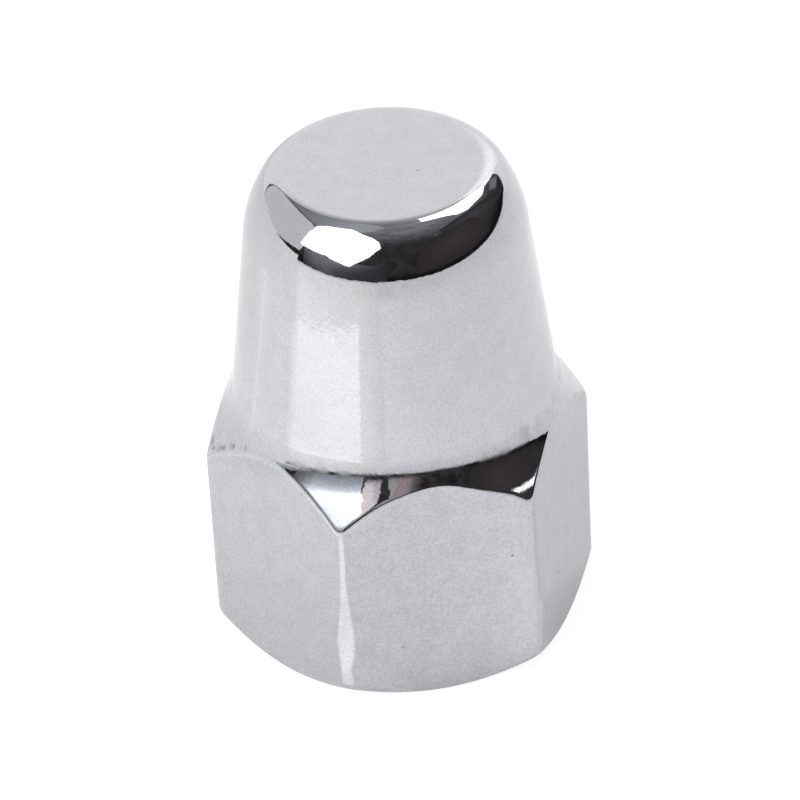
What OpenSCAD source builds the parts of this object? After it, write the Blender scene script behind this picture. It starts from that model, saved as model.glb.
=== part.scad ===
// Tall hexagon cap nut: a hexagon with chamfered corners carries a tapered cap that flares
// out into the chamfer and whose shoulder rolls over in two curves to a small flat top.
// A blind threaded hole enters from the seat. Millimetres, +Z up, origin at the centre of
// the seat face.

/* [Hexagon] */
// Width across the flats
across_flats = 13; // [12:0.1:17]
// Height of the hexagon, from the seat to the foot of the cap
hex_h = 9.9; // [7:0.1:14]
// Radius along the six upright corners
corner_r = 0.4; // [0.1:0.05:1]
// Slope of the upper corner chamfer, up from level
top_chamfer_deg = 57; // [25:1:62]
// Slope of the lower corner chamfer, up from level
foot_chamfer_deg = 36; // [15:1:50]
// Step in from the flats to the rim of the seat face
seat_step = 0.12; // [0.05:0.01:0.6]

/* [Cap] */
// Height of the cap above the hexagon
cap_h = 9.9; // [7:0.1:14]
// Step in from the flats to the foot of the cap
cap_step = 0.28; // [0.15:0.01:1]
// Lean of the cap side, in from upright
cap_lean_deg = 6.6; // [2:0.1:10]
// Radius of the hollow flare from the cap side into the upper chamfer
flare_r = 3.5; // [1:0.1:5]
// Radius of the wide shoulder curve
shoulder_r = 5; // [2:0.1:7]
// Radius of the tight curve at the edge of the flat top
edge_r = 1.2; // [0.4:0.1:2]
// Slope, up from level, where the wide curve hands over to the tight one
hand_over_deg = 32; // [20:1:50]

/* [Threaded hole] */
// Major diameter of the thread
thread_d = 8; // [5:0.1:8.5]
// Pitch of the thread
thread_pitch = 1.25; // [0.75:0.05:1.5]
// Metal left between the drill point and the flat top
top_wall = 2.9; // [1.5:0.1:5]
// Full angle of the drill point
drill_point_deg = 118; // [90:1:140]
// Width of the flat that the drill's chisel edge leaves at the point
drill_web = 0.8; // [0.4:0.1:1.5]
// Growth of the countersunk mouth beyond the thread, on the diameter
mouth_growth = 0.6; // [0.2:0.1:1]
// Full angle of the countersunk mouth
mouth_deg = 90; // [60:1:120]

/* [Hidden] */
$fn = 120;
over = 1;
hair = 0.002;
total_h = hex_h + cap_h;
flat_r = across_flats / 2;
cap_r = flat_r - cap_step;
seat_r = flat_r - seat_step;

// Upright corner: centre of its curve and how far it reaches from the axis
corner_off = (flat_r - corner_r) / cos(30);
corner_reach = corner_off + corner_r;
blank_r = corner_reach + over;

// Height that a basic metric profile takes off the major diameter, both sides together
minor_factor = 1.0825;
hole_r = (thread_d - minor_factor * thread_pitch) / 2;
mouth_r = (thread_d + mouth_growth) / 2;
mouth_depth = (mouth_r - hole_r) / tan(mouth_deg / 2);
point_h = (hole_r - drill_web / 2) / tan(drill_point_deg / 2);
hole_depth = total_h - top_wall - point_h;

// Cap outline: straight side, wide shoulder curve, tight edge curve, flat top
lean = [cos(cap_lean_deg), sin(cap_lean_deg)];
turn = [cos(hand_over_deg), sin(hand_over_deg)];
curves_h = shoulder_r * (turn.y - lean.y) + edge_r * (1 - turn.y);
side_h = cap_h - curves_h;
side_end = [cap_r - side_h * tan(cap_lean_deg), hex_h + side_h];
shoulder_c = side_end - shoulder_r * lean;
shoulder_end = shoulder_c + shoulder_r * turn;
edge_c = shoulder_end - edge_r * turn;
edge_end = edge_c + [0, edge_r];

// Hollow flare: where it leaves the cap side, where it runs into the chamfer, and its centre
flare_reach = flare_r * tan((90 - top_chamfer_deg - cap_lean_deg) / 2);
flare_top = [cap_r, hex_h] + flare_reach * [-lean.y, lean.x];
flare_foot = [cap_r, hex_h] + flare_reach * [cos(top_chamfer_deg), -sin(top_chamfer_deg)];
flare_c = flare_top + flare_r * lean;

// Where the straight side, the slope at the hand-over and the flat top would meet unrounded
shoulder_corner = shoulder_c
    + shoulder_r / cos((hand_over_deg - cap_lean_deg) / 2)
    * [cos((hand_over_deg + cap_lean_deg) / 2), sin((hand_over_deg + cap_lean_deg) / 2)];
edge_corner = edge_c
    + edge_r / cos((90 - hand_over_deg) / 2)
    * [cos((90 + hand_over_deg) / 2), sin((90 + hand_over_deg) / 2)];

// Corner of an outline beyond the chord from p to q, less a disc: cut away it rounds an outer
// corner, added it fills an inner one. The disc is a hair oversize, so that its edge crosses
// the sides instead of only touching them.
module corner_beyond(p, q, c, r) {
    along = (q - p) / norm(q - p);
    out = [along.y, -along.x];
    run = along * r / 4;
    difference() {
        polygon([p - run, p - run + out * r, q + run + out * r, q + run]);
        translate(c)
            circle(r = r + hair);
    }
}

// Hexagon with rounded corners, one corner on +X and one flat facing -Y
module hexagon() {
    difference() {
        circle(r = flat_r / cos(30), $fn = 6);
        for (i = [0 : 5])
            rotate(60 * i)
                corner_beyond(
                    [corner_off, 0] + corner_r * [cos(-30), sin(-30)],
                    [corner_off, 0] + corner_r * [cos(30), sin(30)],
                    [corner_off, 0],
                    corner_r
                );
    }
}

// Half outline of the whole nut as turned, before the flats are cut
module turned_outline() {
    difference() {
        polygon([
            [0, 0],
            [seat_r, 0],
            [blank_r, (blank_r - seat_r) * tan(foot_chamfer_deg)],
            [blank_r, hex_h - (blank_r - cap_r) * tan(top_chamfer_deg)],
            [cap_r, hex_h],
            shoulder_corner,
            edge_corner,
            [0, total_h]
        ]);
        corner_beyond(side_end, shoulder_end, shoulder_c, shoulder_r);
        corner_beyond(shoulder_end, edge_end, edge_c, edge_r);
    }
    corner_beyond(flare_top, flare_foot, flare_c, flare_r);
}

module blind_hole() {
    translate([0, 0, -over])
        cylinder(r = hole_r, h = hole_depth + over);
    translate([0, 0, hole_depth])
        cylinder(r1 = hole_r, r2 = drill_web / 2, h = point_h);
    translate([0, 0, -over])
        cylinder(r1 = mouth_r + over * tan(mouth_deg / 2), r2 = hole_r, h = mouth_depth + over);
}

module cap_nut() {
    color("silver")
        difference() {
            intersection() {
                translate([0, 0, -over])
                    linear_extrude(height = total_h + 2 * over)
                        hexagon();
                rotate_extrude()
                    turned_outline();
            }
            blind_hole();
        }
}

cap_nut();
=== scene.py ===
# Looks of the cap nut: one closed chrome mesh over the CAD node, on a white table in a small photo studio.
import math

import bpy
import numpy as np
from mathutils import Matrix, Vector


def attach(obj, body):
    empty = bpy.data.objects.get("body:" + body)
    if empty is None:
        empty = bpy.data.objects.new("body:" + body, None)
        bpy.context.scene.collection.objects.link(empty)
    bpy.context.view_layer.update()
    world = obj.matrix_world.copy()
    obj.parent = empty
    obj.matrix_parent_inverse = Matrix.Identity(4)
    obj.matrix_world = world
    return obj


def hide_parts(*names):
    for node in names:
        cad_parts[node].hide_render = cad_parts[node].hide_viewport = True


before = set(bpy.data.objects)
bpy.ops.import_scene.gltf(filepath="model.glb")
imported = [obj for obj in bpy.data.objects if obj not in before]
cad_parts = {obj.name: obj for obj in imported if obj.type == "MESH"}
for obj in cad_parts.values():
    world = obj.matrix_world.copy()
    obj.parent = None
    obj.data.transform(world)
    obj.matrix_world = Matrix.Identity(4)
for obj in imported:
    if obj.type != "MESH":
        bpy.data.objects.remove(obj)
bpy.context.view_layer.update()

MM = 0.001
COS30 = math.cos(math.radians(30))

# Sizes of the part, in millimetres and degrees
FLAT_R = 6.5
HEX_H = 9.9
TOTAL_H = 19.8
CAP_R = 6.22
SEAT_R = 6.38
TOP_CHAMFER = 57
FOOT_CHAMFER = 36
CAP_LEAN = 6.6
FLARE_R = 3.5
SHOULDER_R = 5.0
EDGE_R = 1.2
HAND_OVER = 32
HOLE_R = 3.3234
HOLE_DEPTH = 15.143
POINT_Z = 16.9
WEB_R = 0.4
MOUTH_R = 4.3
THREAD_R = 4.0
PITCH = 1.25
# Thread run-out: plain wall left below the drill point, and the turns over which the cut gets shallower
RUN_OUT = 0.6
RUN_OUT_TURNS = 1.5
# Width of the ring on the seat where the mesh of the outside meets the mesh of the hole
SEAT_RING = 0.2

# Polish: radii that buffing leaves on the edges
CORNER_TOP = 0.5
CORNER_FOOT = 0.95
EDGE_SEAT = 0.05
EDGE_FOOT = 0.07
EDGE_FOOT_CORNER = 0.5
EDGE_CHAMFER = 0.8
# Lean of the upper chamfer along the front flat, where wear has lowered the scallop: angles, then leans
SCALLOP_TURNS = (-19, -15, -11.5, -6, 0, 10, 15.5, 19, 22, 25)
SCALLOP_LEANS = (33, 28, 23.5, 20, 19, 19.7, 22.5, 26, 29.5, 33)

# Rows and columns of the mesh, and how much closer together the columns are at the corners
COLUMNS_PER_HALF = 28
CROWDING = 1.8
SEAT_ROWS = 6
FOOT_ROWS = 2
FLAT_ROWS = 16
EDGE_ROWS = 10
FLARE_ROWS = 24
SIDE_ROWS = 24
SHOULDER_ROWS = 16
ROLL_ROWS = 20
TOP_ROWS = 12
POINT_ROWS = 8
ROWS_PER_PITCH = 16

# Camera of the photo: turn about Z, tilt down, lean in the picture, distance and aim
CAM_TURN = -11.12
CAM_TILT = 34.75
CAM_LEAN = 3.17
CAM_DISTANCE = 333.0
PIXELS_PER_MM = 25.88
BASE_PIXEL = (406.6, 593.1)
FRAME_PIXELS = 800
SENSOR_MM = 36
CLIP_NEAR = 0.01
CLIP_FAR = 10

# Chrome: two close tints of the clean plate, the duller flecks on the hexagon and on the cap, and the pits
PLATE_WARM = (0.583, 0.577, 0.61, 1)
PLATE_COOL = (0.56, 0.565, 0.607, 1)
FLECK_HEXAGON = (0.46, 0.46, 0.495, 1)
FLECK_CAP = (0.49, 0.489, 0.522, 1)
PIT_TINT = (0.08, 0.08, 0.1, 1)
# Heights over which the flecks change from the one tint to the other
FLECK_CHANGE = (9.5, 10.5)
# Roughness of the polish, and what patches in the hollow below the cap add to it
POLISH = (0.03, 0.06)
DULLNESS = (0.05, 0.3)
# The hollow: how far the surface faces up where the dullness sets in and where it stops, and its top
HOLLOW_FROM = (0.17, 0.24)
HOLLOW_TO = (0.42, 0.33)
HOLLOW_TOP = (11.4, 11.0)
# It is strongest at the right and the left: both places, and the share of the dullness there
RIGHT_END = (1.0, 4.0, 0.25, 1.1)
LEFT_END = (-2.0, -4.0, 0.0, 0.5)
# Unevenness of the surface in metres: wide waves, and ripples that are weaker at the top
WAVE_DEPTH = 6e-6
RIPPLE_DEPTH = 2.2e-6
RIPPLE_FADE = (17.8, 18.3, 1.0, 0.35)
# Hole: bare cut steel, and where it is stained
CUT_TINT = (0.42, 0.42, 0.42, 1)
STAIN_TINT = (0.25, 0.24, 0.23, 1)
CUT_POLISH = (0.28, 0.45)
CUT_DEPTH = 4e-6

# Studio: bearings are in degrees from the camera's own, positive to the picture's right, glow 1 is white
EYE = Vector((0, 0, 14))
ROOM_GLOW = 0.045
ROOM_LOW_HUE = (1.0, 0.95, 0.93, 1)
ROOM_HIGH_HUE = (0.93, 0.95, 1.0, 1)
# Glow of the ceiling, in front and behind
CEILING_GLOW = (0.14, 0.3)
# A low white board at the left, which the cap and the chamfer mirror: height and distance
BOARD_H = 20.0
BOARD_AWAY = 40
# Bearings along it, with the glow at its foot and at its top
BOARD_SIDES = [
    (-165, 0.94, 0.92),
    (-140, 1.02, 0.95),
    (-115, 1.12, 1.0),
    (-90, 1.17, 1.06),
    (-71, 1.2, 1.12),
]
# Glow of the white table: to the camera, and mirrored in the foot's crease, near the nut and further off.
# The mirrored glow is lower in the crease and near the nut: painted shade for the nut's shadow on the
# table, added to the real shadow in the table's diffuse part
TABLE_SHOWN = 0.9
TABLE_CREASE_SHADE = 0.5
TABLE_NEAR_SHADE = 0.66
TABLE_FAR = 0.85
# Distances over which the table goes from the one glow to the next, and at last to plain white
CREASE_SPAN = (6.6, 8.0)
FAR_SPAN = (14, 28)
WHITE_SPAN = (40, 120)
# Half the table's width and its drop below the seat, in metres
TABLE_HALF = 1.5
TABLE_DROP = 1e-5
# Cards of the studio: distance, glow and the rim as bearings and heights
KEY_AWAY = 60
KEY_GLOW = 5.0
KEY_SOFTBOX = [
    (-73, 15), (-50, 17), (-40, 15.5), (-30, 13.5), (-14, 24), (-6, 31), (-8, 45),
    (-16, 58), (-36, 68), (-81, 75), (-91, 63), (-85, 54), (-75, 43), (-71, 24),
]
PANEL_AWAY = 160
PANEL_GLOW = 0.85
PANEL_TINT = (0.99, 0.99, 1.0)
LEFT_PANEL = [
    (-146, 31), (-139, 19), (-129, -1), (-124, -5), (-112, -3), (-108, 2), (-92, 5), (-74, 8),
    (-68, 20), (-71, 36), (-85, 49), (-97, 52.5), (-126, 51), (-140, 47), (-150, 40),
]
RIGHT_AWAY = 300
RIGHT_GLOW = 5.0
RIGHT_SOFTBOX = [
    (167, 61), (161, 56), (159, 52), (157, 47), (152, 43), (143, 40),
    (130, 41), (121, 47), (110, 49), (106, 56), (130, 66), (144, 71),
]
TAIL_AWAY = 299
TAIL_GLOW = 1.8
RIGHT_TAIL = [(143, 39.5), (152, 43), (155, 36), (152, 25), (147, 25), (145, 32)]
# Dim things further off: name, rim, glow, tint, distance and how far in from the rim the glow fades
DIM_CARDS = [
    ("blue_card", [(124, 20), (140, 20), (146, 36), (126, 34)], 0.3, (0.85, 0.92, 1.0), 320, 0.5),
    ("grey_drape", [(52, 7), (120, 7), (116, 40), (90, 52), (56, 46)], 0.08, (1.0, 0.97, 0.97), 500, 0.85),
    ("pale_stand", [(44, 32), (50, 33), (53, 42), (46, 42)], 0.14, (1.0, 1.0, 1.0), 450, 0.7),
    ("brown_box", [(22, 3), (92, 3), (90, 34), (26, 22)], 0.07, (1.0, 0.86, 0.84), 440, 0.85),
]
# Level sheets that show only from below. From the photo's angle only the chamfer mirrors them.
# Name, height and tint, then rows along a bearing: distances from the axis with the glow there
EAVES = [
    ("pale_apron", 16, (0.9, 0.94, 1.0), [
        (-64, (22, 0.16), (23.3, 0.16), (26, 0.15), (30, 0.15), (37, 0.15), (50, 0.18), (110, 0.25)),
        (-58, (21.5, 1.2), (23.3, 0.7), (26, 0.42), (30, 0.36), (37, 0.32), (50, 0.28), (110, 0.3)),
        (-50, (21, 2.4), (23.3, 1.45), (26, 1.02), (30, 0.82), (37, 0.68), (50, 0.54), (110, 0.4)),
        (-22, (21, 2.4), (23.3, 1.5), (26, 1.06), (30, 0.85), (37, 0.7), (50, 0.54), (110, 0.4)),
    ]),
    ("left_brim", 11, (0.92, 0.95, 1.0), [
        (-80, (18, 0.4), (24, 0.6), (34, 1.0), (100, 1.1)),
        (-60, (18, 0.4), (24, 0.6), (34, 1.0), (100, 1.1)),
        (-52, (18, 0.15), (24, 0.15), (34, 0.2), (100, 0.25)),
    ]),
    ("pink_strip", 12.05, (1.0, 0.93, 0.93), [
        (-18.6, (11.9, 1.22), (15, 1.15), (19, 0.7), (26, 0.1)),
        (-12.9, (11.4, 1.15), (15, 1.1), (19, 0.7), (26, 0.1)),
    ]),
    ("grey_strip", 12, (1.0, 0.99, 1.0), [
        (-12.8, (11.2, 0.9), (14, 0.85), (19, 0.5), (26, 0.08)),
        (-9.9, (11.2, 0.8), (14, 0.8), (19, 0.5), (26, 0.08)),
    ]),
    ("olive_strip", 12, (1.0, 0.98, 0.95), [
        (-6.2, (14, 0.5), (22, 0.5), (29, 0.34), (42, 0.12)),
        (-1, (14, 0.6), (22, 0.52), (29, 0.3), (42, 0.13)),
    ]),
    ("brown_strip", 12, (1.0, 0.84, 0.84), [
        (-0.8, (14, 0.5), (22, 0.5), (29, 0.3), (42, 0.13)),
        (6, (14, 0.5), (22, 0.5), (29, 0.28), (42, 0.12)),
        (11, (14, 0.2), (22, 0.2), (29, 0.16), (42, 0.07)),
        (20, (14, 0.05), (22, 0.05), (29, 0.05), (42, 0.03)),
    ]),
    ("white_arc", 9.6, (1.0, 1.0, 1.0), [
        (41.5, (9.2, 0.1), (9.4, 0.6), (9.6, 0.1)),
        (45, (9.2, 0.1), (9.55, 2.6), (9.9, 0.1)),
        (50, (9.45, 0.1), (9.82, 3.2), (10.2, 0.1)),
        (56.3, (9.7, 0.1), (10.08, 3.2), (10.45, 0.1)),
        (60.7, (9.65, 0.1), (9.95, 2.6), (10.25, 0.1)),
        (62.5, (9.5, 0.1), (9.75, 0.6), (10.0, 0.1)),
    ]),
]
# Patches of the table that catch more light, in rows of the same form
TABLE_SHEETS = [
    ("front_table", 0.03, (1.0, 1.0, 1.0), [
        (-19, (7.8, 0.9), (8.7, 0.94), (10.2, 0.98), (12.3, 1.0), (15, 1.02), (19, 1.05), (24, 1.07)),
        (14, (7.8, 0.9), (8.7, 0.945), (10.2, 0.99), (12.3, 1.01), (15, 1.04), (19, 1.07), (24, 1.09)),
        (24, (7.8, 0.9), (8.7, 0.96), (10.2, 1.02), (12.3, 1.06), (15, 1.08), (19, 1.1), (24, 1.1)),
        (33, (7.8, 0.92), (8.7, 1.0), (10.2, 1.08), (12.3, 1.12), (15, 1.12), (19, 1.1), (24, 1.08)),
        (44, (7.8, 0.95), (8.7, 1.02), (10.2, 1.1), (12.3, 1.13), (15, 1.13), (19, 1.1), (24, 1.05)),
        (60, (7.8, 0.9), (8.7, 0.92), (10.2, 1.05), (12.3, 1.1), (15, 1.1), (19, 1.05), (24, 1.0)),
        (75, (7.8, 0.9), (8.7, 0.9), (10.2, 0.91), (12.3, 0.92), (15, 0.92), (19, 0.94), (24, 0.95)),
    ]),
    ("left_table", 0.03, (1.0, 1.0, 0.985), [
        (-110, (7.6, 0.94), (9, 0.95), (11, 0.99), (14, 1.03), (18.5, 1.12), (23.5, 1.15)),
        (-20, (7.6, 0.94), (9, 0.95), (11, 0.99), (14, 1.03), (18.5, 1.12), (23.5, 1.15)),
    ]),
    ("bright_table", 0.05, (1.0, 0.995, 0.97), [
        (-76, (24, 1.2), (36, 1.22), (39.8, 1.22), (40.8, 1.22), (54, 1.2), (90, 1.18), (500, 1.18)),
        (-68, (24, 1.42), (36, 1.58), (41, 1.6), (42, 1.36), (54, 1.34), (90, 1.28), (500, 1.25)),
        (-62, (24, 1.42), (36, 1.6), (42, 1.6), (43, 1.36), (54, 1.34), (90, 1.28), (500, 1.25)),
        (-47, (24, 1.42), (36, 1.6), (43.9, 1.62), (45, 1.34), (54, 1.3), (90, 1.25), (500, 1.2)),
        (-32, (24, 1.42), (36, 1.6), (45, 1.62), (46.2, 1.26), (54, 1.24), (90, 1.2), (500, 1.15)),
        (-24, (24, 1.42), (36, 1.6), (46.2, 1.6), (47.4, 1.22), (54, 1.2), (90, 1.15), (500, 1.1)),
        (-22.6, (24, 1.3), (36, 1.3), (46.2, 1.28), (47.4, 1.22), (54, 1.17), (90, 1.1), (500, 1.05)),
        (-8, (24, 1.09), (36, 1.1), (46.2, 1.08), (47.4, 1.07), (54, 1.05), (90, 1.0), (500, 0.9)),
    ]),
    ("panel_table", 0.05, (1.0, 1.0, 0.985), [
        (-165, (24, 0.97), (90, 0.97)),
        (-130, (24, 1.07), (90, 1.07)),
        (-108, (24, 1.19), (90, 1.19)),
        (-105.5, (24, 1.32), (90, 1.32)),
        (-103, (24, 1.21), (90, 1.21)),
        (-100, (24, 1.22), (90, 1.22)),
        (-76, (24, 1.24), (90, 1.2)),
    ]),
]
# A bright patch on the table for the front left corner to mirror. It spreads from a pole just outside that
# corner: distances from the pole, both bearings and the glow
CORNER_BEARING = -18.88
POLE_R = 7.64
POLE_LIFT = 0.07
CORNER_PATCH = [
    (0.6, -88, 0, 1.25),
    (1.2, -88, 0, 1.32),
    (1.8, -84, -18, 1.42),
    (2.45, -84, 0, 1.5),
    (3.1, -90, 10, 1.5),
    (4.15, -93, 13, 1.48),
    (5.2, -84, 7, 1.46),
    (6.2, -69, 0, 1.38),
    (7.5, -54, -11, 1.52),
    (9, -50, -4, 1.5),
    (12.5, -50, -4, 1.45),
    (17, -50, -4, 1.05),
]
# Width in degrees over which the sides of the patch fade, and the glow they fade to
PATCH_EDGE = 14
PATCH_FADE = 1.02
# The white paper behind: height, both bearings and the glow, which fades at the top
PAPER_AWAY = 400
BACK_PAPER = [
    (-2, 126, 230, 1.1),
    (10, 133, 223, 1.12),
    (20, 140, 217, 1.14),
    (32, 148, 211, 1.13),
    (37, 151, 208, 1.1),
    (44, 154, 204, 0.8),
    (58, 158, 192, 0.42),
    (72, 150, 186, 0.25),
]
# Its brighter right end, which the rim of the flat top mirrors: height, then bearings with the glow
RIM_AWAY = 230
RIM_PAPER = [
    (6, (150, 1.1), (157, 1.15), (166, 1.1), (173, 1.1)),
    (18, (148, 1.35), (156, 1.55), (164, 1.35), (173, 1.12)),
    (30, (147, 1.5), (156, 1.65), (165, 1.4), (174, 1.12)),
    (38, (150, 1.5), (158, 1.65), (166, 1.45), (174, 1.08)),
    (46, (159, 1.5), (163, 1.6), (168, 1.5), (174, 0.9)),
]
# A lilac glow high at the left: height, both bearings and the glow
LILAC_AWAY = 410
LILAC_TINT = (0.95, 0.96, 1.0)
LILAC_GLOW = [
    (22, -158, -138, 0.2),
    (34, -164, -144, 0.24),
    (45, -166, -150, 0.3),
    (54, -168, -88, 0.4),
    (64, -172, -80, 0.55),
    (78, -174, -50, 0.52),
    (88, -180, 20, 0.2),
]
# The dim cloth under the key softbox: height, then bearings with the glow
SKIRT_AWAY = 62
SKIRT_TINT = (0.95, 0.94, 1.0)
SKIRT = [
    (4, (-67, 0.03), (-58, 0.1), (-48, 0.16), (-38, 0.09), (-26, 0.06), (-2, 0.045)),
    (9, (-68, 0.1), (-58, 0.22), (-48, 0.22), (-38, 0.13), (-26, 0.08), (-2, 0.045)),
    (16, (-69, 0.25), (-58, 0.3), (-48, 0.3), (-38, 0.28), (-26, 0.2), (-2, 0.045)),
]
# Small pits in the plating, each with its radius in millimetres and how dark it is.
# On a flat: the way it faces, the place along it and the height
FLAT_PITS = [
    (-90, -1.51, 2.32, 0.06, 0.6),
    (-90, 2.87, 5.71, 0.07, 0.8),
    (-30, -0.98, 2.78, 0.1, 0.8),
]
# On the flat top: the place
TOP_PITS = [
    (1.16, -0.76, 0.05, 0.8),
]
# Along the upper chamfer by the left corner: degrees round from the corner, and the reach from the axis
CHAMFER_PITS = [
    (-2.4, 7.09, 0.14, 0.3),
    (-1.2, 7.15, 0.16, 0.5),
    (1.4, 7.17, 0.12, 0.65),
    (4.2, 7.05, 0.2, 0.25),
    (5.4, 6.99, 0.12, 0.4),
    (6.6, 6.93, 0.16, 0.5),
    (10.1, 6.76, 0.2, 0.25),
    (11.2, 6.71, 0.12, 0.4),
    (17.4, 6.54, 0.14, 0.3),
]


def hexagon_radius(turn, corner):
    """Reach of the hexagon at an angle from its nearest corner, with that corner radius."""
    turn = np.abs(turn)
    off = (FLAT_R - corner) / COS30
    meet = math.atan2(corner * 0.5, off + corner * COS30)
    rounded = off * np.cos(turn) + np.sqrt(np.maximum(corner**2 - (off * np.sin(turn)) ** 2, 0))
    flat = FLAT_R / np.cos(math.radians(30) - turn)
    return np.where(turn < meet, rounded, flat)


def columns(per_half):
    """Angles round the nut and from the nearest corner, closest together at the corners."""
    step = np.arange(-per_half, per_half) / per_half
    turn = np.radians(30) * np.sign(step) * np.abs(step) ** CROWDING
    angle = np.concatenate([turn + math.radians(60 * i) for i in range(6)])
    return angle, np.tile(turn, 6)


def steps(count, soft=0.06):
    """Fractions along a straight stretch, with one row close to each end."""
    inner = np.linspace(0, 1, count + 1)[1:-1]
    return np.unique(np.concatenate([[soft / count], inner, [1 - soft / count]]))


def section(keys, radii, counts, arc=6):
    """Rows of (r, z) points along an outline through keys, each corner rounded to its radius."""
    keys = [np.asarray(k, float) for k in keys]
    starts, ends = [keys[0]], [keys[0]]
    for before, key, after, radius in zip(keys, keys[1:], keys[2:], radii):
        into, away = key - before, after - key
        into = into / np.linalg.norm(into, axis=1)[:, None]
        away = away / np.linalg.norm(away, axis=1)[:, None]
        turn = np.arccos(np.clip((into * away).sum(1), -1, 1))
        reach = (radius * np.tan(turn / 2))[:, None]
        starts.append(key - reach * into)
        ends.append(key + reach * away)
    starts.append(keys[-1])
    rows = [keys[0]]
    for i in range(len(keys) - 1):
        rows += [ends[i] + (starts[i + 1] - ends[i]) * f for f in steps(counts[i])]
        if i + 2 < len(keys):
            into, away = starts[i + 1] - keys[i + 1], ends[i + 1] - keys[i + 1]
            weight = np.linalg.norm(starts[i + 1] - ends[i + 1], axis=1) / 2
            weight = (weight / np.maximum(np.linalg.norm(into, axis=1), 1e-9))[:, None]
            for u in np.linspace(0, 1, arc + 1):
                a, b, c = (1 - u) ** 2, 2 * weight * u * (1 - u), u**2
                rows.append((a * starts[i + 1] + b * keys[i + 1] + c * ends[i + 1]) / (a + b + c))
    rows.append(keys[-1])
    return rows


def ring(r, z, cols):
    """One (r, z) point for each column, from single values or from arrays."""
    return np.column_stack([np.broadcast_to(r, cols), np.broadcast_to(z, cols)]).astype(float)


class Flare:
    """Turned outline from the cap's side down and out over the chamfer, to a lean for each column."""

    def __init__(self, limit):
        self.side = math.radians(CAP_LEAN)
        slope = math.radians(90 - TOP_CHAMFER)
        reach = FLARE_R * math.tan((slope - self.side) / 2)
        self.start = np.array([CAP_R - reach * math.sin(self.side), HEX_H + reach * math.cos(self.side)])
        self.centre = self.start + FLARE_R * np.array([math.cos(self.side), math.sin(self.side)])
        self.limit = limit
        self.curve = FLARE_R * (limit - self.side)

    def at(self, s):
        """Points (r, z) at lengths along the outline."""
        lean = self.side + np.minimum(s, self.curve) / FLARE_R
        beyond = np.maximum(s - self.curve, 0)
        r = self.centre[0] - FLARE_R * np.cos(lean) + beyond * np.sin(self.limit)
        z = self.centre[1] - FLARE_R * np.sin(lean) - beyond * np.cos(self.limit)
        return np.column_stack([r, z])

    def reach(self, r):
        """Lengths along the outline at which it comes out to the radii r."""
        bent = np.arccos(np.minimum((self.centre[0] - r) / FLARE_R, 1))
        bent_r = self.centre[0] - FLARE_R * np.cos(self.limit)
        straight = self.curve + (r - bent_r) / np.sin(self.limit)
        return np.where(r < bent_r, FLARE_R * (bent - self.side), straight)


def outer_rows(angle, turn):
    """Sections of the nut from the seat's inner rim up to the rim of the flat top."""
    n = len(turn)
    foot = hexagon_radius(turn, CORNER_FOOT)
    top = hexagon_radius(turn, CORNER_TOP)
    foot_z = (foot - SEAT_R) * math.tan(math.radians(FOOT_CHAMFER))
    along = (np.degrees(angle) + 270) % 360 - 180
    flare = Flare(np.radians(np.interp(along, SCALLOP_TURNS, SCALLOP_LEANS)))
    brow = flare.reach(top)
    brow_z = flare.at(brow)[:, 1]
    tilt = np.minimum(flare.side + brow / FLARE_R, flare.limit)
    soft = EDGE_CHAMFER * tilt / tilt.max() * np.tan(tilt / 2)
    edge_foot = EDGE_FOOT + (EDGE_FOOT_CORNER - EDGE_FOOT) * (foot - FLAT_R) / (foot.max() - FLAT_R)
    keys = [
        ring(MOUTH_R + SEAT_RING, 0, n),
        ring(SEAT_R, 0, n),
        ring(foot, foot_z, n),
        ring(top, brow_z - soft, n),
    ]
    rows = section(keys, [EDGE_SEAT, edge_foot], [SEAT_ROWS, FOOT_ROWS, FLAT_ROWS])
    start, corner, end = keys[-1], ring(top, brow_z, n), flare.at(brow - soft)
    for u in np.linspace(0, 1, EDGE_ROWS + 1)[1:]:
        rows.append((1 - u) ** 2 * start + 2 * u * (1 - u) * corner + u**2 * end)
    for f in steps(FLARE_ROWS):
        rows.append(flare.at((brow - soft) * (1 - f)))
    lean, over = math.radians(CAP_LEAN), math.radians(HAND_OVER)
    climb = SHOULDER_R * (math.sin(over) - math.sin(lean)) + EDGE_R * (1 - math.sin(over))
    side_z = TOTAL_H - climb
    side_r = CAP_R - (side_z - HEX_H) * math.tan(lean)
    last = np.array([side_r, side_z])
    for f in np.linspace(0, 1, SIDE_ROWS + 1):
        rows.append(ring(*(flare.start + (last - flare.start) * f), n))
    shoulder = last - SHOULDER_R * np.array([math.cos(lean), math.sin(lean)])
    for a in np.linspace(lean, over, SHOULDER_ROWS + 1)[1:]:
        rows.append(ring(*(shoulder + SHOULDER_R * np.array([math.cos(a), math.sin(a)])), n))
    edge = shoulder + (SHOULDER_R - EDGE_R) * np.array([math.cos(over), math.sin(over)])
    for a in np.linspace(over, math.pi / 2, ROLL_ROWS + 1)[1:]:
        rows.append(ring(*(edge + EDGE_R * np.array([math.cos(a), math.sin(a)])), n))
    for f in steps(TOP_ROWS)[:-1]:
        rows.append(ring(edge[0] * (1 - f), TOTAL_H, n))
    return rows


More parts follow.
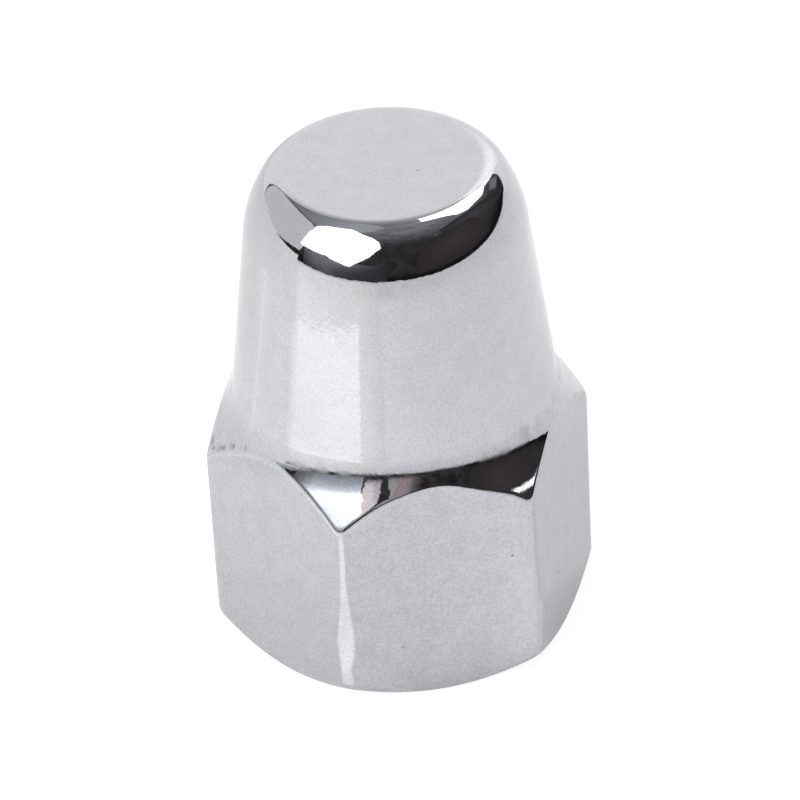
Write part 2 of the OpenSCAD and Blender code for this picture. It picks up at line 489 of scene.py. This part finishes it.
def thread_rows(angle):
    """Sections of the hole from the countersunk mouth, along the right-hand thread, to the drill point."""
    n = len(angle)
    rows = [ring(MOUTH_R, 0, n)]
    crest = PITCH / 4
    root = PITCH / 8
    flank = (PITCH - crest - root) / 2
    lift = PITCH / ROWS_PER_PITCH
    for z in np.arange(lift, HOLE_DEPTH, lift):
        phase = np.mod(z / PITCH - angle / (2 * math.pi), 1.0)
        away = np.abs(phase - 0.5) * PITCH
        cut = np.clip((away - crest / 2) / flank, 0, 1)
        fade = np.clip((HOLE_DEPTH - RUN_OUT - z) / (RUN_OUT_TURNS * PITCH), 0, 1)
        r = HOLE_R + (THREAD_R - HOLE_R) * cut * fade
        rows.append(ring(np.maximum(r, MOUTH_R - z), z, n))
    rows.append(ring(HOLE_R, HOLE_DEPTH, n))
    for f in np.linspace(0, 1, POINT_ROWS + 1)[1:]:
        rows.append(ring(HOLE_R + (WEB_R - HOLE_R) * f, HOLE_DEPTH + (POINT_Z - HOLE_DEPTH) * f, n))
    return rows


def nut_mesh():
    """One closed mesh: the outside, then the hole on every second column, joined on the seat."""
    angle, turn = columns(COLUMNS_PER_HALF)
    outer = outer_rows(angle, turn)
    inner_angle = angle[::2]
    inner = thread_rows(inner_angle)
    verts = []
    faces = []

    def points(row, ang):
        return np.column_stack([row[:, 0] * np.cos(ang), row[:, 0] * np.sin(ang), row[:, 1]])

    for row in outer:
        verts.append(points(row, angle))
    n, m = len(angle), len(inner_angle)
    for i in range(len(outer) - 1):
        a, b = i * n, (i + 1) * n
        faces += [(a + j, a + (j + 1) % n, b + (j + 1) % n, b + j) for j in range(n)]
    verts.append(np.array([[0, 0, TOTAL_H]]))
    tip, last = len(outer) * n, (len(outer) - 1) * n
    faces += [(last + j, last + (j + 1) % n, tip) for j in range(n)]
    first = tip + 1
    for row in inner:
        verts.append(points(row, inner_angle))
    for j in range(m):
        a, b, c = 2 * j, 2 * j + 1, (2 * j + 2) % n
        p, q = first + j, first + (j + 1) % m
        faces += [(b, a, p), (c, b, p, q)]
    bore_from = len(faces)
    for i in range(len(inner) - 1):
        a, b = first + i * m, first + (i + 1) * m
        faces += [(a + (j + 1) % m, a + j, b + j, b + (j + 1) % m) for j in range(m)]
    verts.append(np.array([[0, 0, POINT_Z]]))
    tip, last = first + len(inner) * m, first + (len(inner) - 1) * m
    faces += [(last + (j + 1) % m, last + j, tip) for j in range(m)]
    mesh = bpy.data.meshes.new("cap_nut_body")
    mesh.from_pydata((np.vstack(verts) * MM).tolist(), [], faces)
    index = np.zeros(len(faces), np.int32)
    index[bore_from:] = 1
    mesh.polygons.foreach_set("material_index", index)
    mesh.polygons.foreach_set("use_smooth", np.ones(len(faces), bool))
    mesh.update()
    return mesh


class Nodes:
    """Short hand for building one node tree."""

    def __init__(self, owner):
        owner.use_nodes = True
        self.tree = owner.node_tree
        self.tree.nodes.clear()

    def add(self, kind, inputs=None, **settings):
        node = self.tree.nodes.new(kind)
        for key, value in settings.items():
            setattr(node, key, value)
        for key, value in (inputs or {}).items():
            self.put(node.inputs[key], value)
        return node

    def put(self, socket, value):
        if isinstance(value, bpy.types.NodeSocket):
            self.tree.links.new(value, socket)
        else:
            socket.default_value = value

    def math(self, operation, a, b=0.0, clamp=False):
        return self.add("ShaderNodeMath", {0: a, 1: b}, operation=operation, use_clamp=clamp).outputs[0]

    def span(self, value, low, high, to_low=0.0, to_high=1.0):
        inputs = {"Value": value, "From Min": low, "From Max": high, "To Min": to_low, "To Max": to_high}
        return self.add("ShaderNodeMapRange", inputs).outputs[0]

    def noise(self, vector, scale, detail=2.0, rough=0.5):
        inputs = {"Vector": vector, "Scale": scale, "Detail": detail, "Roughness": rough}
        return self.add("ShaderNodeTexNoise", inputs).outputs["Fac"]

    def mix(self, factor, a, b):
        node = self.add("ShaderNodeMix", data_type="RGBA")
        self.put(node.inputs[0], factor)
        self.put(node.inputs[6], a)
        self.put(node.inputs[7], b)
        return node.outputs[2]

    def bump(self, height, distance, normal=None):
        inputs = {"Height": height, "Distance": distance, "Strength": 1.0}
        if normal is not None:
            inputs["Normal"] = normal
        return self.add("ShaderNodeBump", inputs).outputs[0]


def millimetres(n):
    """Object coordinates in millimetres."""
    place = n.add("ShaderNodeTexCoord").outputs["Object"]
    return n.add("ShaderNodeVectorMath", {0: place, 1: (1000, 1000, 1000)}, operation="MULTIPLY").outputs[0]


def pits():
    """Place, radius and darkness of every pit."""
    found = []
    for facing, along, height, radius, dark in FLAT_PITS:
        a = math.radians(facing)
        x = FLAT_R * math.cos(a) - along * math.sin(a)
        y = FLAT_R * math.sin(a) + along * math.cos(a)
        found.append(((x, y, height), radius, dark))
    for x, y, radius, dark in TOP_PITS:
        found.append(((x, y, TOTAL_H), radius, dark))
    slope = math.tan(math.radians(TOP_CHAMFER))
    for turn, reach, radius, dark in CHAMFER_PITS:
        a = math.radians(180 + turn)
        height = HEX_H - (reach - CAP_R) * slope
        found.append(((reach * math.cos(a), reach * math.sin(a), height), radius, dark))
    return found


def chrome_material():
    """Polished plate with a fine grain, small pits and a patchy polish in the hollow below the cap."""
    mat = bpy.data.materials.new("polished_chrome")
    n = Nodes(mat)
    p = millimetres(n)
    cloud = n.noise(p, 0.45, 3.0)
    blotch = n.noise(p, 1.3, 2.0)
    grain = n.noise(p, 11.0, 2.0, 0.6)
    colour = n.mix(n.span(cloud, 0.35, 0.65), PLATE_WARM, PLATE_COOL)
    fleck = n.math("ADD", n.math("MULTIPLY", grain, 0.75), n.math("MULTIPLY", blotch, 0.25))
    spot = n.add("ShaderNodeSeparateXYZ", {0: p})
    across, height = spot.outputs["X"], spot.outputs["Z"]
    worn = n.mix(n.span(height, *FLECK_CHANGE), FLECK_HEXAGON, FLECK_CAP)
    colour = n.mix(n.span(fleck, 0.36, 0.64), colour, worn)
    for place, radius, dark in pits():
        away = n.add("ShaderNodeVectorMath", {0: p, 1: place}, operation="DISTANCE").outputs["Value"]
        colour = n.mix(n.span(away, 0.4 * radius, radius, dark, 0.0), colour, PIT_TINT)
    tilt = n.add("ShaderNodeSeparateXYZ", {0: n.add("ShaderNodeTexCoord").outputs["Normal"]}).outputs["Z"]
    hollow = n.math("MULTIPLY", n.span(tilt, *HOLLOW_FROM), n.span(tilt, *HOLLOW_TO))
    hollow = n.math("MULTIPLY", hollow, n.span(height, *HOLLOW_TOP))
    ends = n.math("ADD", n.span(across, *RIGHT_END), n.span(across, *LEFT_END))
    hollow = n.math("MULTIPLY", hollow, ends)
    dull = n.math("MULTIPLY", hollow, n.span(n.noise(p, 1.6, 3.0), 0.35, 0.65, *DULLNESS))
    rough = n.span(n.noise(p, 1.1, 4.0, 0.65), 0.3, 0.7, *POLISH)
    rough = n.math("ADD", rough, dull)
    wave = n.bump(n.noise(p, 0.55, 1.0), WAVE_DEPTH)
    ripple = n.math("MULTIPLY", n.noise(p, 4.5, 2.0), n.span(height, *RIPPLE_FADE))
    normal = n.bump(ripple, RIPPLE_DEPTH, wave)
    inputs = {"Base Color": colour, "Metallic": 1.0, "Roughness": rough, "Normal": normal}
    shader = n.add("ShaderNodeBsdfPrincipled", inputs)
    out = n.add("ShaderNodeOutputMaterial")
    n.put(out.inputs["Surface"], shader.outputs[0])
    return mat


def bore_material():
    """Bare steel of the cut thread, a little stained."""
    mat = bpy.data.materials.new("cut_thread")
    n = Nodes(mat)
    p = millimetres(n)
    stain = n.noise(p, 1.4, 4.0, 0.6)
    colour = n.mix(n.span(stain, 0.35, 0.7), CUT_TINT, STAIN_TINT)
    rough = n.span(n.noise(p, 3.0, 3.0), 0.3, 0.7, *CUT_POLISH)
    normal = n.bump(n.noise(p, 9.0, 3.0), CUT_DEPTH)
    inputs = {"Base Color": colour, "Metallic": 1.0, "Roughness": rough, "Normal": normal}
    shader = n.add("ShaderNodeBsdfPrincipled", inputs)
    out = n.add("ShaderNodeOutputMaterial")
    n.put(out.inputs["Surface"], shader.outputs[0])
    return mat


def towards(az, el):
    """Unit vector for a bearing from the camera's own, positive to the picture's right, and a height."""
    a, e = math.radians(CAM_TURN + az), math.radians(el)
    return Vector((math.sin(a) * math.cos(e), -math.cos(a) * math.cos(e), math.sin(e)))


def glowing(name, points, faces, glows, tint=(1, 1, 1), under=False):
    """A sheet with a glow at each point. With under, only what looks up at it sees it."""
    mesh = bpy.data.meshes.new(name)
    mesh.from_pydata([tuple(v * MM) for v in points], [], faces)
    mesh.attributes.new("glow", "FLOAT", "POINT").data.foreach_set("value", glows)
    if under and mesh.polygons[0].normal.z > 0:
        mesh.flip_normals()
    mat = bpy.data.materials.new(name)
    n = Nodes(mat)
    glow = n.add("ShaderNodeAttribute", attribute_name="glow").outputs["Fac"]
    surface = n.add("ShaderNodeEmission", {"Color": (*tint, 1), "Strength": glow}).outputs[0]
    if under:
        side = n.add("ShaderNodeNewGeometry").outputs["Backfacing"]
        clear = n.add("ShaderNodeBsdfTransparent").outputs[0]
        surface = n.add("ShaderNodeMixShader", {0: side, 1: surface, 2: clear}).outputs[0]
    out = n.add("ShaderNodeOutputMaterial")
    n.put(out.inputs["Surface"], surface)
    mesh.materials.append(mat)
    obj = bpy.data.objects.new(name, mesh)
    bpy.context.scene.collection.objects.link(obj)
    obj.visible_camera = False
    return obj


def mirrored_only(obj):
    """Keeps a sheet out of the light on the table: only the chrome mirrors it."""
    obj.visible_diffuse = False
    obj.visible_shadow = False


def card(name, outline, glow, reach, tint=(1, 1, 1), feather=0.0):
    """A studio card whose rim lies at the given bearings and heights, at that distance in millimetres."""
    rim = [EYE + towards(az, el) * reach for az, el in outline]
    k = len(rim)
    heart = sum(rim, Vector()) / k
    points = [v.lerp(heart, feather) for v in rim] + [heart]
    glows = [glow] * (k + 1)
    faces = [(i, (i + 1) % k, k) for i in range(k)]
    if feather > 0:
        points += rim
        glows += [ROOM_GLOW] * k
        faces += [(i, (i + 1) % k, k + 1 + (i + 1) % k, k + 1 + i) for i in range(k)]
    return glowing(name, points, faces, glows, tint)


def quilt(name, rows, tint=(1, 1, 1), under=False):
    """A sheet through rows of (point, glow), all of one length, with the glow blended between them."""
    wide = len(rows[0])
    points = [point for row in rows for point, glow in row]
    glows = [glow for row in rows for point, glow in row]
    faces = []
    for i in range(len(rows) - 1):
        a, b = i * wide, (i + 1) * wide
        faces += [(a + j, a + j + 1, b + j + 1, b + j) for j in range(wide - 1)]
    return glowing(name, points, faces, glows, tint, under)


def place_quilt(name, rows, reach, tint=(1, 1, 1)):
    """A studio sheet from rows of (bearing, height, glow), at that distance in millimetres."""
    rows = [[(EYE + towards(az, el) * reach, glow) for az, el, glow in row] for row in rows]
    return quilt(name, rows, tint)


def level_sheet(name, height, rows, tint=(1, 1, 1), under=False):
    """A level sheet from rows of a bearing and (distance, glow) pairs along it."""
    lift = Vector((0, 0, height))
    spread = [[(towards(row[0], 0) * far + lift, glow) for far, glow in row[1:]] for row in rows]
    mirrored_only(quilt(name, spread, tint, under))


def floor_piece():
    """White table: it glows to the camera and in the chrome, and takes the nut's shadow."""
    mesh = bpy.data.meshes.new("table")
    corners = [(x * TABLE_HALF, y * TABLE_HALF, 0) for x, y in ((-1, -1), (1, -1), (1, 1), (-1, 1))]
    mesh.from_pydata(corners, [], [(0, 1, 2, 3)])
    mat = bpy.data.materials.new("white_table")
    n = Nodes(mat)
    path = n.add("ShaderNodeLightPath")
    away = n.add("ShaderNodeVectorMath", {0: millimetres(n)}, operation="LENGTH").outputs["Value"]
    # Painted shade: the glow that the chrome mirrors is lowered in the crease and near the nut, standing in
    # for the nut's shadow on the table
    near = n.span(away, *CREASE_SPAN, TABLE_CREASE_SHADE, TABLE_NEAR_SHADE)
    mirrored = n.math("ADD", near, n.span(away, *FAR_SPAN, 0.0, TABLE_FAR - TABLE_NEAR_SHADE))
    mirrored = n.math("MULTIPLY", mirrored, path.outputs["Is Glossy Ray"])
    seen = n.math("MAXIMUM", path.outputs["Is Camera Ray"], path.outputs["Is Transmission Ray"])
    shown = n.math("MULTIPLY", seen, n.span(away, *WHITE_SPAN, TABLE_SHOWN, 1.0))
    strength = n.math("ADD", mirrored, shown)
    inputs = {
        "Base Color": (0.3, 0.3, 0.3, 1),
        "Roughness": 0.6,
        "Specular IOR Level": 0.1,
        "Emission Color": (1, 1, 1, 1),
        "Emission Strength": strength,
    }
    top = n.add("ShaderNodeBsdfPrincipled", inputs)
    out = n.add("ShaderNodeOutputMaterial")
    n.put(out.inputs["Surface"], top.outputs[0])
    mesh.materials.append(mat)
    obj = bpy.data.objects.new("table", mesh)
    obj.location.z = -TABLE_DROP
    bpy.context.scene.collection.objects.link(obj)


def room():
    """White to the camera and to transmission rays, a dim room to everything else."""
    world = bpy.data.worlds.new("room")
    bpy.context.scene.world = world
    n = Nodes(world)
    path = n.add("ShaderNodeLightPath")
    way = n.add("ShaderNodeTexCoord").outputs["Generated"]
    up = n.add("ShaderNodeSeparateXYZ", {0: way}).outputs["Z"]
    behind = n.add("ShaderNodeVectorMath", {0: way, 1: towards(180, 30)}, operation="DOT_PRODUCT")
    back = n.span(behind.outputs["Value"], -0.2, 0.75, *CEILING_GLOW)
    ceiling = n.math("MULTIPLY", back, n.span(up, 0.5, 0.95))
    low = n.span(up, 0.02, 0.13, 0.2 * ROOM_GLOW, ROOM_GLOW)
    uneven = n.span(n.noise(way, 7.0, 5.0, 0.6), 0.3, 0.7, 0.6, 1.4)
    dim = n.math("MULTIPLY", n.math("ADD", low, ceiling), uneven)
    hue = n.mix(n.span(up, 0.3, 0.8), ROOM_LOW_HUE, ROOM_HIGH_HUE)
    dark = n.add("ShaderNodeBackground", {"Color": hue, "Strength": dim})
    white = n.add("ShaderNodeBackground", {"Color": (1, 1, 1, 1), "Strength": 1.0})
    seen = n.math("MAXIMUM", path.outputs["Is Camera Ray"], path.outputs["Is Transmission Ray"])
    both = n.add("ShaderNodeMixShader", {0: seen, 1: dark.outputs[0], 2: white.outputs[0]})
    out = n.add("ShaderNodeOutputWorld")
    n.put(out.inputs["Surface"], both.outputs[0])


def bearing_rows(rows):
    """Rows of (bearing, height, glow) from rows of a height and (bearing, glow) pairs."""
    return [[(az, el, glow) for az, glow in stops] for el, *stops in rows]


def strip_rows(rows):
    """Rows of (bearing, height, glow) from rows of a height, both bearings and the glow."""
    return [[(a, el, glow), (b, el, glow)] for el, a, b, glow in rows]


def low_board():
    """The upright board at the left."""
    lift = Vector((0, 0, BOARD_H))
    rows = []
    for az, low, high in BOARD_SIDES:
        foot = towards(az, 0) * BOARD_AWAY
        rows.append([(foot, low), (foot + lift, high)])
    mirrored_only(quilt("low_board", rows))


def corner_table():
    """The bright patch by the front left corner, with faded sides."""
    pole = towards(CORNER_BEARING, 0) * POLE_R + Vector((0, 0, POLE_LIFT))
    rows = []
    for far, a, b, glow in CORNER_PATCH:
        stops = [(a - PATCH_EDGE / 2, PATCH_FADE), (a + PATCH_EDGE / 2, glow)]
        stops += [(b - PATCH_EDGE / 2, glow), (b + PATCH_EDGE / 2, PATCH_FADE)]
        rows.append([(pole + towards(az, 0) * far, value) for az, value in stops])
    mirrored_only(quilt("corner_table", rows))


def studio():
    """Table, room and everything around the nut that lights it or that it mirrors."""
    floor_piece()
    room()
    card("key_softbox", KEY_SOFTBOX, KEY_GLOW, KEY_AWAY)
    place_quilt("softbox_skirt", bearing_rows(SKIRT), SKIRT_AWAY, SKIRT_TINT)
    card("left_panel", LEFT_PANEL, PANEL_GLOW, PANEL_AWAY, PANEL_TINT)
    low_board()
    place_quilt("back_paper", strip_rows(BACK_PAPER), PAPER_AWAY)
    mirrored_only(place_quilt("rim_paper", bearing_rows(RIM_PAPER), RIM_AWAY))
    place_quilt("lilac_glow", strip_rows(LILAC_GLOW), LILAC_AWAY, LILAC_TINT)
    mirrored_only(card("right_softbox", RIGHT_SOFTBOX, RIGHT_GLOW, RIGHT_AWAY))
    mirrored_only(card("right_softbox_rim", RIGHT_TAIL, TAIL_GLOW, TAIL_AWAY))
    for name, rim, glow, tint, reach, feather in DIM_CARDS:
        card(name, rim, glow, reach, tint, feather)
    for name, height, tint, rows in EAVES:
        level_sheet(name, height, rows, tint, under=True)
    for name, height, tint, rows in TABLE_SHEETS:
        level_sheet(name, height, rows, tint)
    corner_table()


def camera():
    """Camera that puts the seat's centre on its pixel in the photo."""
    data = bpy.data.cameras.new("camera")
    obj = bpy.data.objects.new("camera", data)
    bpy.context.scene.collection.objects.link(obj)
    a, e, lean = (math.radians(v) for v in (CAM_TURN, CAM_TILT, CAM_LEAN))
    right = Vector((math.cos(a), math.sin(a), 0))
    back = Vector((math.sin(a) * math.cos(e), -math.cos(a) * math.cos(e), math.sin(e)))
    up = back.cross(right)
    off_x, off_y = BASE_PIXEL[0] - FRAME_PIXELS / 2, FRAME_PIXELS / 2 - BASE_PIXEL[1]
    across = (off_x * math.cos(lean) + off_y * math.sin(lean)) / PIXELS_PER_MM
    above = (-off_x * math.sin(lean) + off_y * math.cos(lean)) / PIXELS_PER_MM
    place = back * CAM_DISTANCE - right * across - up * above
    tilted_right = right * math.cos(lean) - up * math.sin(lean)
    tilted_up = right * math.sin(lean) + up * math.cos(lean)
    turn = Matrix((tilted_right, tilted_up, back)).transposed().to_4x4()
    obj.matrix_world = Matrix.Translation(place * MM) @ turn
    data.sensor_width = SENSOR_MM
    data.lens = PIXELS_PER_MM * CAM_DISTANCE * data.sensor_width / FRAME_PIXELS
    data.clip_start = CLIP_NEAR
    data.clip_end = CLIP_FAR
    bpy.context.scene.camera = obj


nut = bpy.data.objects.new("cap_nut_body", nut_mesh())
nut.data.materials.append(chrome_material())
nut.data.materials.append(bore_material())
bpy.context.scene.collection.objects.link(nut)
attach(nut, "root")
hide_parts("cap_nut")

studio()
camera()
bpy.context.scene.view_settings.view_transform = "Standard"
